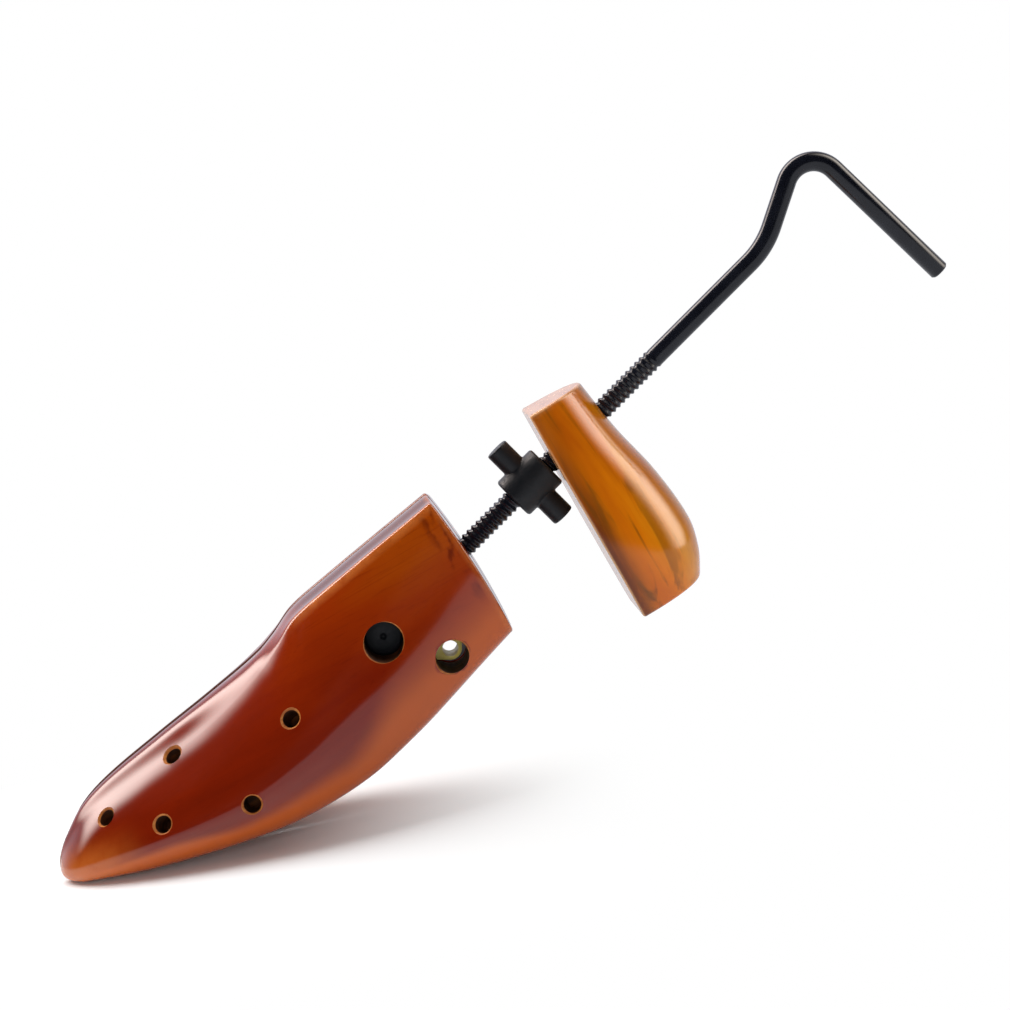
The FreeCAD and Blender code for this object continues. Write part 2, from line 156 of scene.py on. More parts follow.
def onSide(bm, side):
    # pieces are made for the right side, +Y; the left side's are their mirror images
    if side < 0:
        bmesh.ops.scale(bm, vec=(1, -1, 1), verts=bm.verts)
        bmesh.ops.reverse_faces(bm, faces=bm.faces)
    return bm


def settle(bm, place):
    # close the seams, face outwards, then carry the mesh to its place
    bmesh.ops.remove_doubles(bm, verts=bm.verts, dist=2e-4)
    bmesh.ops.dissolve_degenerate(bm, dist=1e-5, edges=bm.edges)
    bmesh.ops.recalc_face_normals(bm, faces=bm.faces)
    bmesh.ops.transform(bm, matrix=place, verts=bm.verts)
    return bm


def meshObject(name, bm, materials=()):
    mesh = bpy.data.meshes.new(name)
    bm.to_mesh(mesh)
    bm.free()
    for material in materials:
        mesh.materials.append(material)
    made = bpy.data.objects.new(name, mesh)
    scene.collection.objects.link(made)
    return made


def bakeModifiers(obj):
    # the evaluated mesh takes the place of the object's own
    graph = bpy.context.evaluated_depsgraph_get()
    mesh = bpy.data.meshes.new_from_object(obj.evaluated_get(graph))
    obj.modifiers.clear()
    old, obj.data = obj.data, mesh
    mesh.name = obj.name
    bpy.data.meshes.remove(old)


def carve(obj, cutters):
    # cut each closed cutter out of obj; its faces keep the cutter's material
    for cutter in cutters:
        cut = obj.modifiers.new("cut", "BOOLEAN")
        cut.operation = "DIFFERENCE"
        cut.solver = "EXACT"
        cut.material_mode = "TRANSFER"
        cut.object = cutter
        bakeModifiers(obj)
        bpy.data.objects.remove(cutter)


def shade(obj, degrees):
    obj.data.shade_smooth()
    obj.data.set_sharp_from_angle(angle=math.radians(degrees))


def fit(obj, body, slotName, stoodFor, sharp):
    shade(obj, sharp)
    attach(obj, body)
    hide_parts(stoodFor)
    print(obj.name, len(obj.data.polygons), "faces")


# Materials

def tone(red, green, blue):
    # a screen colour, 0 to 255, as light values
    made = []
    for part in (red, green, blue):
        part /= 255
        made.append(part / 12.92 if part <= 0.04045 else ((part + 0.055) / 1.055) ** 2.4)
    return (*made, 1.0)


class Nodes:
    # one node tree under construction

    def __init__(self, tree):
        self.tree = tree

    def fill(self, node, inputs):
        # a socket takes a plain value or another node's output
        for key, value in inputs.items():
            if isinstance(value, (int, float, tuple)):
                node.inputs[key].default_value = value
            else:
                self.tree.links.new(value, node.inputs[key])

    def add(self, kind, inputs=None, **settings):
        node = self.tree.nodes.new(kind)
        for key, value in settings.items():
            setattr(node, key, value)
        self.fill(node, inputs or {})
        return node

    def math(self, operation, *values):
        return self.add("ShaderNodeMath", dict(enumerate(values)), operation=operation).outputs[0]

    def times(self, first, second):
        return self.math("MULTIPLY", first, second)

    def total(self, start, *terms):
        for value, weight in terms:
            start = self.math("MULTIPLY_ADD", value, weight, start)
        return start

    def span(self, value, low, high, toLow=0.0, toHigh=1.0, smooth=True):
        inputs = {"Value": value, "From Min": low, "From Max": high, "To Min": toLow, "To Max": toHigh}
        kind = "SMOOTHSTEP" if smooth else "LINEAR"
        return self.add("ShaderNodeMapRange", inputs, interpolation_type=kind).outputs["Result"]

    def ramp(self, value, stops):
        node = self.add("ShaderNodeValToRGB", {"Fac": value})
        marks = node.color_ramp.elements
        while len(marks) < len(stops):
            marks.new(0.5)
        for mark, (at, colour) in zip(marks, stops):
            mark.position, mark.color = at, colour
        return node.outputs["Color"]

    def blend(self, share, first, second):
        # by the numbers of a colour mix's sockets
        return self.add("ShaderNodeMix", {0: share, 6: first, 7: second}, data_type="RGBA").outputs[2]

    def mixShaders(self, share, first, second):
        return self.add("ShaderNodeMixShader", {0: share, 1: first, 2: second}).outputs[0]

    def toSurface(self, output, shader):
        self.tree.links.new(shader, self.tree.nodes[output].inputs["Surface"])

    def rays(self):
        # 1 for rays that see plain white, from the camera or through glass; 1 for rays that mirror
        path = self.add("ShaderNodeLightPath").outputs
        seen = self.math("MAXIMUM", path["Is Camera Ray"], path["Is Transmission Ray"])
        return seen, path["Is Glossy Ray"]


class Finish(Nodes):
    # one material under construction

    def __init__(self, name, **sockets):
        self.material = bpy.data.materials.new(name)
        self.material.use_nodes = True
        super().__init__(self.material.node_tree)
        self.shader = self.tree.nodes["Principled BSDF"]
        for socket, value in sockets.items():
            self.shader.inputs[socket.replace("_", " ")].default_value = value
        self.place = self.add("ShaderNodeTexCoord").outputs["Object"]

    def noise(self, scale, detail=3.0, roughness=0.5, distortion=0.0, turn=(0, 0, 0), shift=(0, 0, 0)):
        # scale counts the pattern's waves a metre along each axis
        inputs = {"Vector": self.place, "Scale": scale, "Rotation": turn, "Location": shift}
        mapped = self.add("ShaderNodeMapping", inputs).outputs["Vector"]
        inputs = {"Vector": mapped, "Scale": 1.0, "Detail": detail, "Roughness": roughness,
                  "Distortion": distortion}
        return self.add("ShaderNodeTexNoise", inputs).outputs["Fac"]

    def axis(self, name):
        return self.add("ShaderNodeSeparateXYZ", {"Vector": self.place}).outputs[name]

    def attribute(self, name):
        return self.add("ShaderNodeAttribute", attribute_name=name).outputs["Fac"]

    def bump(self, height, distance, strength, socket="Normal"):
        node = self.add("ShaderNodeBump", {"Height": height, "Distance": distance, "Strength": strength})
        self.link(node.outputs["Normal"], socket)

    def link(self, source, socket):
        self.tree.links.new(source, self.shader.inputs[socket])


redLacquer = {
    "dark": tone(94, 18, 2), "red": tone(120, 27, 2), "warm": tone(142, 43, 1), "orange": tone(158, 64, 2),
    # under: painted reflection of the floor, on the lower side and the toe
    "worn": tone(204, 116, 54), "split": tone(60, 28, 12), "stain": tone(84, 16, 4), "under": tone(192, 90, 20),
    "top": tone(74, 34, 24),
    "grain": (14, 98, 140), "lean": -9, "pores": (45, 1500, 1500), "clouds": (24, 24, 34),
    "patches": (220, 220, 220), "drips": (260, 200, 130), "peel": (60, 60, 60),
    "toeToRear": (-0.110, -0.010), "soleToTop": (0.012, 0.058),
    "tint": {"base": -0.02, "grain": 0.30, "clouds": 0.30, "rear": 0.62},
}


def makeRedLacquer():
    look, share = redLacquer, redLacquer["tint"]
    made = Finish("redLacquer", Coat_Roughness=0.12, Coat_IOR=1.5, Specular_IOR_Level=0.0)
    lean = (0, math.radians(look["lean"]), 0)
    grain = made.noise(look["grain"], detail=4, roughness=0.55, distortion=0.5, turn=lean)
    clouds = made.noise(look["clouds"], detail=2)
    length = made.span(made.axis("X"), *look["toeToRear"])  # red toe, orange rear
    height = made.span(made.axis("Z"), *look["soleToTop"])
    tint = made.total(share["base"], (grain, share["grain"]), (clouds, share["clouds"]),
                      (made.times(length, height), share["rear"]))
    colour = made.ramp(tint, [(0.10, look["dark"]), (0.34, look["red"]), (0.62, look["warm"]),
                              (0.92, look["orange"])])
    pores = made.noise(look["pores"], detail=2, roughness=0.6)
    colour = made.blend(made.span(pores, 0.52, 0.74, 0.0, 0.24), colour, look["dark"])
    # painted reflection of the floor: paler orange where the skin faces down or forward, and at the toe
    colour = made.blend(made.times(made.attribute("under"), 0.75), colour, look["under"])
    colour = made.blend(made.attribute("top"), colour, look["top"])
    drips = made.span(made.noise(look["drips"], detail=2), 0.46, 0.62, 0.0, 0.8)
    colour = made.blend(made.times(made.attribute("stain"), drips), colour, look["stain"])
    patches = made.span(made.noise(look["patches"], detail=3), 0.25, 0.6, 0.45, 1.0)
    # the worn colour on rubbed edges, and over the nose as a painted reflection
    colour = made.blend(made.times(made.attribute("wear"), patches), colour, look["worn"])
    # the split mark also takes in the dark strip beside the split along the vamp
    inner = made.attribute("split")  # bare wood, without a coat
    made.link(made.blend(inner, colour, look["split"]), "Base Color")
    made.link(made.span(inner, 0.0, 1.0, 1.0, 0.0, smooth=False), "Coat Weight")
    made.link(made.total(made.span(clouds, 0.3, 0.7, 0.38, 0.50), (inner, 0.35)), "Roughness")
    made.bump(made.times(pores, 0.12), 0.0002, 0.10)
    made.bump(made.noise(look["peel"], detail=1), 0.0009, 0.12, "Coat Normal")
    return made.material


def makeBoredWood(name, pale, dark, roughness):
    # drilled wood, mottled by its grain and fibres
    made = Finish(name, Roughness=roughness)
    grain = made.noise((300, 300, 300), detail=4, roughness=0.6)
    fibres = made.noise((90, 900, 900), detail=2)
    mottled = made.ramp(grain, [(0.3, dark), (0.7, pale)])
    made.link(made.blend(made.span(fibres, 0.3, 0.7), mottled, dark), "Base Color")
    made.bump(grain, 0.0002, 0.5)
    return made.material


amberLacquer = {
    "deep": tone(196, 94, 2), "amber": tone(226, 122, 3), "light": tone(238, 152, 20), "streak": tone(104, 62, 12),
    # front: painted shade towards the heel's front edge
    "front": tone(104, 44, 1), "worn": tone(230, 182, 132), "wornDark": tone(196, 134, 80),
    "end": tone(216, 142, 94), "endDark": tone(178, 100, 54),
    "lean": 13, "figure": (85, 70, 9), "clouds": (40, 40, 22), "streaks": (190, 140, 15), "pores": (900, 900, 40),
    "rings": (320, 60, 60), "flame": (60, 240, 12), "peel": (70, 70, 70),
    "frontToBack": (0.036, 0.056), "frontShade": (0.0302, 0.0385), "topFace": (0.0711, 0.0717),
    "tint": {"figure": 0.7, "clouds": 0.22, "back": 0.16},
}


def makeAmberLacquer():
    look, share = amberLacquer, amberLacquer["tint"]
    made = Finish("amberLacquer", Coat_Weight=1.0, Coat_Roughness=0.14, Coat_IOR=1.48, Specular_IOR_Level=0.0)
    lean = (0, math.radians(look["lean"]), 0)
    figure = made.noise(look["figure"], detail=3, distortion=0.8, turn=lean)
    clouds = made.noise(look["clouds"], detail=2)
    back = made.span(made.axis("X"), *look["frontToBack"])
    tint = made.total(0.0, (figure, share["figure"]), (clouds, share["clouds"]), (back, share["back"]))
    colour = made.ramp(tint, [(0.34, look["deep"]), (0.54, look["amber"]), (0.76, look["light"])])
    # painted shade: darker towards the heel's front edge, patchy with the clouds
    front = made.span(made.axis("X"), *look["frontShade"], 1.0, 0.0)
    front = made.times(front, made.span(clouds, 0.3, 0.7, 0.55, 1.0))
    colour = made.blend(front, colour, look["front"])
    streaks = made.noise(look["streaks"], detail=3, distortion=0.6, turn=lean, shift=(0.7, 0.2, 0.4))
    streaks = made.times(made.span(streaks, 0.52, 0.68, 0.0, 0.75), made.span(back, 0.0, 1.0, 1.0, 0.2))
    colour = made.blend(streaks, colour, look["streak"])
    pores = made.noise(look["pores"], detail=2, turn=lean)
    colour = made.blend(made.span(pores, 0.55, 0.75, 0.0, 0.22), colour, look["deep"])
    rings = made.noise(look["rings"], detail=3, distortion=0.4, shift=(0.3, 0.1, 0.2))
    endGrain = made.blend(made.span(rings, 0.38, 0.66), look["end"], look["endDark"])
    colour = made.blend(made.span(made.axis("Z"), *look["topFace"]), colour, endGrain)
    flame = made.noise(look["flame"], detail=3, distortion=0.9, turn=lean)
    bare = made.blend(made.span(flame, 0.42, 0.68), look["worn"], look["wornDark"])
    made.link(made.blend(made.times(made.attribute("wear"), 0.8), colour, bare), "Base Color")
    made.link(made.span(clouds, 0.3, 0.7, 0.36, 0.48), "Roughness")
    made.bump(pores, 0.0002, 0.06)
    made.bump(made.noise(look["peel"], detail=1), 0.0009, 0.12, "Coat Normal")
    return made.material


def makeMetal(name, first, second, roughness, metallic, grain, bumpDepth, spread=0.1, **sockets):
    # plated, blacked or bright metal: two tones in cloudy patches, uneven gloss and a fine skin
    made = Finish(name, Metallic=metallic, **sockets)
    clouds = made.noise((140, 140, 140), detail=4, roughness=0.6)
    made.link(made.ramp(clouds, [(0.3, first), (0.7, second)]), "Base Color")
    skin = made.noise((grain, grain, grain), detail=3)
    made.link(made.span(skin, 0.25, 0.75, roughness - spread, roughness + spread), "Roughness")
    made.bump(skin, bumpDepth, 0.4)
    return made.material


redFinish = makeRedLacquer()
amberFinish = makeAmberLacquer()
# hole walls: dark wood, partly stain and partly painted shade of the hole's depth
boreStainAndShade = makeBoredWood("boredWoodStainAndShade", tone(96, 52, 18), tone(40, 18, 8), roughness=0.75)
rimFinish = makeBoredWood("rimWood", tone(206, 132, 60), tone(150, 80, 24), roughness=0.6)
blackRod = makeMetal("blackRod", (0.004, 0.0045, 0.008, 1), (0.008, 0.009, 0.014, 1), roughness=0.20, metallic=0.0,
                     grain=220, bumpDepth=0.000004, spread=0.03, Specular_IOR_Level=0.4)
blackCasting = makeMetal("blackCasting", (0.005, 0.006, 0.008, 1), (0.010, 0.011, 0.013, 1), roughness=0.46,
                         metallic=0.0, grain=1300, bumpDepth=0.00005, spread=0.08, Specular_IOR_Level=0.35)
yellowZinc = makeMetal("yellowZinc", tone(244, 216, 96), tone(252, 236, 146), roughness=0.36, metallic=0.15,
                       grain=700, bumpDepth=0.00005)
plainSteel = makeMetal("plainSteel", tone(150, 150, 152), tone(186, 186, 188), roughness=0.32, metallic=1.0,
                       grain=900, bumpDepth=0.00005)
springSteel = makeMetal("springSteel", tone(104, 106, 112), tone(150, 152, 158), roughness=0.28, metallic=1.0,
                        grain=900, bumpDepth=0.00003)
print("finishes:", len(bpy.data.materials))


# Forepart, one half a side

last = {
    "length": 158.6, "ballBack": 77.0, "ballHalfWidth": 31.5, "rearHalfWidth": 19.0, "restGap": 3.0,
    "noseLength": 8.0, "noseRise": 3.4, "noseDrop": 3.6, "noseFlat": 0.17, "noseCrowding": 1.6,
    "topHalfWidth": 14.0, "topCrown": 1.6, "topHandles": (0.45, 0.5),
    "instepStart": 74.0, "instepEnd": 52.0, "fillStart": 105.0,
    "soleShare": 0.76, "roundShoulder": 0.42, "roundShoulderDrop": 0.15,
    "swellLow": (0.20, 0.26), "swellHigh": (0.58, 0.66), "rows": 190,
    "rearBulge": 2.0, "rearBulgeHeight": 29.0, "rearBulgeRadius": 245.0, "rearRound": 0.9,
    "rearTurns": (22.5, 45, 67.5, 90), "rearRings": (0.94, 0.84, 0.68, 0.5, 0.3, 0.12, 0.0),
    # each edge's radius, and its limits as shares of the section's height and width
    "rounds": {"corner": (4.0, 0.2, 0.3), "splitEdge": (1.4, 0.12, 0.25), "topEdge": (1.3, 0.1, 0.2),
               "soleSplit": (0.8, 0.1, 0.2)},
    "sole": [(0, 16.6), (0.17, 9.3), (0.33, 3.8), (0.45, 0.7), (0.54, 0), (0.64, 0.8), (0.72, 3.2), (0.80, 6.3),
             (1, 16)],
    "ridge": [(0, 24), (0.042, 28.8), (0.10, 34.9), (0.17, 38.6), (0.30, 42.3), (0.43, 45.5), (0.55, 49),
              (0.60, 51.9), (0.65, 55.7), (0.72, 58.1), (1, 65.7)],
}
# the points of a section's loop: which line they are on, and how far along it
sectionSteps = {"sole": 7, "corner": 5, "side": 26, "topEdge": 5, "top": 12, "splitEdge": 4, "split": 12,
                "soleSplit": 4}
sectionMarks = [(line, t / steps) for line, steps in sectionSteps.items() for t in range(steps)]


def rounding(edge, tall, wide):
    radius, tallShare, wideShare = last["rounds"][edge]
    return min(radius, tallShare * tall, wideShare * wide)


def sectionLines(share):
    # the lines of the forepart's section at a share of its length, in y and z
    ballShare = 1 - last["ballBack"] / last["length"]
    noseShare = last["noseLength"] / last["length"]
    nose = 1 - math.sqrt(1 - (1 - share / noseShare) ** 2) if share < noseShare else 0.0
    x = (share - 1) * last["length"]
    low = smoothValue(last["sole"], share) + last["noseRise"] * nose
    high = smoothValue(last["ridge"], share) - last["noseDrop"] * nose
    tall = high - low
    if share < ballShare:
        wide = last["ballHalfWidth"] * math.sqrt(1 - (1 - share / ballShare) ** 2)
    else:
        turn = math.pi * (share - ballShare) / (1 - ballShare)
        wide = mix(last["rearHalfWidth"], last["ballHalfWidth"], (1 + math.cos(turn)) / 2)
    crisp = ease(-last["instepStart"], -last["instepEnd"], x)
    full = ease(-last["fillStart"], -last["instepEnd"], x)
    shoulder = mix(last["roundShoulder"] * wide, last["topHalfWidth"], full)
    drop = mix(last["roundShoulderDrop"] * tall, last["topCrown"], full)
    soleHalf = last["soleShare"] * wide
    sideHeight = high - drop - low
    bulge = (wide - (soleHalf + shoulder) / 8) / 0.75  # the curve of the side then swells to wide
    lower, upper = mix(*last["swellLow"], full), mix(*last["swellHigh"], full)
    edgeRound, footRound = rounding("corner", tall, soleHalf), rounding("soleSplit", tall, soleHalf)
    topRound, splitRound = rounding("topEdge", tall, shoulder), rounding("splitEdge", tall, shoulder)
    corner = Vector((soleHalf, low))
    lowHandle, highHandle = Vector((bulge, low + lower * sideHeight)), Vector((bulge, low + upper * sideHeight))
    sideStart = corner + (lowHandle - corner).normalized() * edgeRound
    topCorner = Vector((shoulder, high - drop))
    rise = (1 - crisp) * (1 - upper) * sideHeight / (bulge - shoulder)
    near, far = last["topHandles"]
    topHandle = topCorner + Vector((-near * shoulder, rise * near * shoulder))
    soleStart, soleEnd = Vector((footRound, low)), Vector((soleHalf - edgeRound, low))
    ridge, splitTop = Vector((splitRound, high)), Vector((0, high - splitRound))
    splitFoot = Vector((0, low + footRound))
    side = [sideStart, lowHandle, highHandle, topCorner]
    top = [topCorner, topHandle, Vector((far * shoulder, high)), ridge]
    sideEnd = 1 - topRound / (3 * (topCorner - highHandle).length)
    topStart = topRound / (3 * (topHandle - topCorner).length)
    return {
        "x": x, "sideEnd": sideEnd, "topStart": topStart, "side": side, "top": top,
        "sole": [soleStart, soleEnd], "corner": [soleEnd, corner, sideStart],
        "topEdge": [bezier(side, sideEnd), topCorner, bezier(top, topStart)],
        "splitEdge": [ridge, Vector((0, high)), splitTop], "split": [splitTop, splitFoot],
        "soleSplit": [splitFoot, Vector((0, low)), soleStart],
    }


def sectionPoint(share, mark):
    line, t = mark
    lines = sectionLines(share)
    if line == "side":
        t *= lines["sideEnd"]
    elif line == "top":
        t = mix(lines["topStart"], 1, t)
    flat = bezier(lines[line], t)
    return Vector((lines["x"], flat.x + last["restGap"] / 2, flat.y))


def rearFace(z):
    radius = last["rearBulgeRadius"]
    return last["rearBulge"] - radius + math.sqrt(radius**2 - (z - last["rearBulgeHeight"]) ** 2)


def halfLoops():
    edge = last["rearRound"]
    ends = []
    for mark in sectionMarks:  # where each line reaches the bulging rear
        share = 1.0
        for step in range(4):
            share = 1 + (rearFace(sectionPoint(share, mark).z) - edge) / last["length"]
        ends.append(share)
    blunt = last["noseFlat"] / last["length"]
    loops = [[sectionPoint(blunt, ("split", 0.5))] * len(sectionMarks)]
    for row in range(1, last["rows"] + 1):
        along = (row / last["rows"]) ** last["noseCrowding"]
        loops.append([sectionPoint(mix(blunt, end, along), mark) for mark, end in zip(sectionMarks, ends)])
    rim = loops[-1]
    for turn in last["rearTurns"]:
        angle = math.radians(turn)
        ring = insetLoop(rim, edge * (1 - math.cos(angle)), Vector((1, 0, 0)))
        loops.append([point + Vector((edge * math.sin(angle), 0, 0)) for point in ring])
    for ring in ringsIn(loops[-1], last["rearRings"]):
        loops.append([Vector((rearFace(point.z), point.y, point.z)) for point in ring])
    return loops


sockets = {"radius": 2.7, "depth": 8.0, "chamfer": 0.7, "toMouth": 4.35, "reach": 2.5, "steps": 40}
eyePlace = (-18.3, 20.2)
crossHoles = {"holes": [(-nutBack, nutHeight, 6.05), (*eyePlace, 5.2)], "through": (-40, 12), "steps": 72,
              "lookFrom": 90, "rim": 0.45, "rimInner": 1, "rimOuter": 3}
springPlaces = {"front": (-131.004, 19.0), "rear": (-24.995, 53.5)}
inside = {
    "pocketCircles": [(-nutBack, nutHeight, 9.5), (*eyePlace, 4.6), (-7.0, 42.0, 5.5)], "pocketDepth": 7.1,
    "channelRadius": 4.9, "channel": (-18.0, 67.0), "wedgePocket": (-55.9, -11.7, 13.26, 7.05), "pastSplit": -4,
    "springRadius": 3.5, "springDepth": 13.0, "steps": 48, "holeSteps": 40,
    "guidePin": (-108.007, 22.5), "guideHoles": {1: (2.5, 13.5), -1: (2.55, 24.2)},
}


def cutterObject(bm, place, side, rimFrom=math.inf):
    # faces from rimFrom on along the cutter's own X are its chamfer
    for face in bm.faces:
        face.material_index = int(min(vert.co.x for vert in face.verts) > rimFrom - 0.01)
    cutter = meshObject("cutter", onSide(settle(bm, place), side), (boreStainAndShade, rimFinish))
    cutter.hide_render = True
    return cutter


def plug(low, high, radius, steps):
    return spunProfile([(low, 0), (low, radius), (high, radius), (high, 0)], steps)


def mouthFrame(mouth, way):
    # X runs out of the hole
    return Matrix.Translation(mouth) @ way.to_track_quat("X", "Z").to_matrix().to_4x4() @ Matrix.Scale(mm, 4)


def socketCutters(side):
    depth, radius, chamfer, reach = (sockets[key] for key in ("depth", "radius", "chamfer", "reach"))
    profile = [(-depth, 0), (-depth, radius), (-chamfer, radius), (reach, radius + reach + chamfer), (reach, 0)]
    for mount in frame["record"]["mounts"]:
        if mount["name"].startswith("right"):
            way = Vector(mount["axis"])
            mouth = Vector(mount["pos_m"]) + way * sockets["toMouth"] * mm
            yield cutterObject(spunProfile(profile, sockets["steps"]), mouthFrame(mouth, way), side, -chamfer)


def crossCutters(side, skin):
    rim, inner, outer, steps = (crossHoles[key] for key in ("rim", "rimInner", "rimOuter", "steps"))
    for x, z, radius in crossHoles["holes"]:
        start = footFrame @ Vector((x, crossHoles["lookFrom"], z))
        mouth, outward = skin.ray_cast(start, Vector((0, -1, 0)))[:2]
        bm = plug(*crossHoles["through"], radius, steps)
        yield cutterObject(bm, mouthFrame(mouth, Vector((0, 1, 0))), side)
        foot = -rim - inner
        bm = spunProfile([(foot, 0), (foot, radius - inner), (outer, radius + rim + outer), (outer, 0)], steps)
        yield cutterObject(bm, mouthFrame(mouth, outward), side, -math.inf)


def insideCutters(side):
    past = inside["pastSplit"]
    bm = bmesh.new()  # pocket round the yoke
    for x, z, radius in inside["pocketCircles"]:
        for y in (past, inside["pocketDepth"]):
            ring = bmesh.ops.create_circle(bm, segments=inside["steps"], radius=radius)["verts"]
            turnAndMove(bm, ring, "X", (x, y, z))
    hull = bmesh.ops.convex_hull(bm, input=bm.verts)
    bmesh.ops.delete(bm, geom=list(dict.fromkeys(hull["geom_interior"] + hull["geom_unused"])), context="VERTS")
    yield cutterObject(bm, footFrame, side)
    yield cutterObject(plug(*inside["channel"], inside["channelRadius"], inside["steps"]), rodFrame, side)
    tip, rear, half, tall = inside["wedgePocket"]  # pocket for the wedge and its ramp plate
    bm = bmesh.new()
    corners = ((tip, past, -tall), (rear, past, -tall), (rear, half, -tall), (tip, 0, -tall))
    base = bm.faces.new([bm.verts.new(corner) for corner in corners])
    made = bmesh.ops.extrude_face_region(bm, geom=[base])["geom"]
    bmesh.ops.translate(bm, verts=vertsOf(made), vec=(0, 0, 2 * tall))
    yield cutterObject(bm, rodFrame, side)
    holes = [(x, z, inside["springRadius"], inside["springDepth"]) for x, z in springPlaces.values()]
    holes.append((*inside["guidePin"], *inside["guideHoles"][side]))
    for x, z, radius, depth in holes:
        bm = plug(past, depth, radius, inside["holeSteps"])
        turnAndMove(bm, bm.verts, "Z", (x, 0, z))
        yield cutterObject(bm, footFrame, side)


# where the skin is rubbed, darker beside the vamp's split, stained or darker on top, in mm, and where a painted
# reflection of the floor makes it paler underneath and at the toe, in metres
halfMarks = {
    "instep": (-62, -46), "wear": {"topEdge": 0.6, "splitEdge": 0.25}, "rearWear": 0.35, "rearWearRows": 3,
    "darkVampStrip": 0.9, "darkVampStripEdge": (4.2, 2.6), "topTint": 0.8,
    "stainFront": (8.5, 3.5), "stainRear": (0.8, 1.8), "stainFoot": (28, 40),
    "noseBack": (-0.132, -0.160), "noseTop": (0.029, 0.017), "noseSheen": 0.4,
    "sheenFrontFacing": (0.5, 0.3), "sheenUnderFacing": (-0.06, 0.30),
    "ballDelay": 0.28, "ballRear": (-0.045, -0.072), "ballFront": (-0.130, -0.105),
}


def skinMarks(row, line, point):
    look, rearRow = halfMarks, last["rows"]
    wear = split = stain = top = 0.0
    if row <= rearRow:  # past it, the rear face is plain lacquer
        crisp = ease(*look["instep"], point.x)
        wear = look["wear"].get(line, 0.0) * crisp
        split = float(line in ("split", "soleSplit"))
        if line in ("top", "splitEdge"):  # the bare edge that follows the vamp
            # a dark strip without a coat along the vamp, beside the split
            split = look["darkVampStrip"] * (1 - crisp) * ease(*look["darkVampStripEdge"], point.y)
            top = look["topTint"] * crisp
        if line in ("side", "topEdge"):
            inward = rearFace(point.z) - point.x
            stain = ease(*look["stainFront"], inward) * ease(*look["stainRear"], inward)
            stain *= ease(*look["stainFoot"], point.z)
    if rearRow <= row <= rearRow + look["rearWearRows"]:
        wear = look["rearWear"]
    return wear, split, stain, top


def placeKey(point):
    return tuple(round(part, 3) for part in point)


def makeHalf(side, name, body, loops):
    look = halfMarks
    bm = skinGrid(loops)
    layers = [bm.verts.layers.float.new(kind) for kind in ("wear", "split", "stain", "top", "under")]
    wearLayer, floorSheenLayer = layers[0], layers[-1]
    marks = {}
    for row, loop in enumerate(loops):
        for mark, point in zip(sectionMarks, loop):
            marks[placeKey(point)] = skinMarks(row, mark[0], point)
    for vert in bm.verts:
        for layer, value in zip(layers, marks[placeKey(vert.co)]):
            vert[layer] = value
    settle(bm, footFrame)
    # painted reflection of the floor: the under mark grows where the skin faces down or forward, is held back by
    # the ball, and covers the nose
    strength, least = look["sheenFrontFacing"]
    for vert in bm.verts:
        facing = strength * max(0.0, -vert.normal.x - least) - vert.normal.z
        nose = ease(*look["noseBack"], vert.co.x) * ease(*look["noseTop"], vert.co.z)
        delay = look["ballDelay"] * ease(*look["ballRear"], vert.co.x) * ease(*look["ballFront"], vert.co.x)
        vert[floorSheenLayer] = max(nose, easeFrom(delay, look["sheenUnderFacing"], facing))
        # the nose also takes the worn colour, as a painted reflection
        vert[wearLayer] = max(look["noseSheen"] * nose, vert[wearLayer])
    skin = BVHTree.FromBMesh(bm)
    half = meshObject(name, onSide(bm, side), (redFinish,))
    carve(half, [*socketCutters(side), *crossCutters(side, skin), *insideCutters(side)])
    fit(half, body, "red_lacquered_wood", body.split("_")[0] + "_last_half", sharp=38)


loops = halfLoops()
makeHalf(-1, "leftForepart", "left_half", loops)
makeHalf(1, "rightForepart", "right_half", loops)


# Heel block

heel = {
    "gap": 38.5, "edgeRound": 1.0, "handle": 0.62, "rows": 70, "frontSteps": 8, "edgeSteps": 6, "backSteps": 30,
    "endRings": (0.9, 0.7, 0.45, 0.2, 0.0),
    "depths": [(0, 22.5), (8, 26.4), (18, 28.4), (36, 26.5), (54, 22.2), (71.8, 19.4)],
    "widths": [(0, 17.0), (8, 20.6), (18, 22.0), (36, 21.6), (54, 20.0), (71.8, 17.5)],
    "boreRadius": 3.8, "bore": (40, 130), "boreSteps": 56,
    "rimWear": 0.7, "rimBelow": (-1.2, -0.4), "rimAbove": (0.2, -0.2), "frontWear": 0.8, "frontDepth": (0.8, 0.2),
}


def heelLoop(z):
    depth, wide = smoothValue(heel["depths"], z), smoothValue(heel["widths"], z)
    handle, edge = heel["handle"], heel["edgeRound"]
    corner, back = Vector((0, wide)), Vector((depth, 0))
    curve = [corner, corner + Vector((handle * depth, 0)), back + Vector((0, handle * wide)), back]
    start = edge / (3 * handle * depth)
    front, turn, rear = heel["frontSteps"], heel["edgeSteps"], heel["backSteps"]
    flat = [Vector((0, mix(0, wide - edge, t / front))) for t in range(front)]
    flat += [bezier([Vector((0, wide - edge)), corner, bezier(curve, start)], t / turn) for t in range(turn)]
    flat += [bezier(curve, mix(start, 1, t / rear)) for t in range(rear + 1)]
    flat += [Vector((point.x, -point.y)) for point in flat[-2:0:-1]]
    return [Vector((heel["gap"] + point.x, point.y, z)) for point in flat]


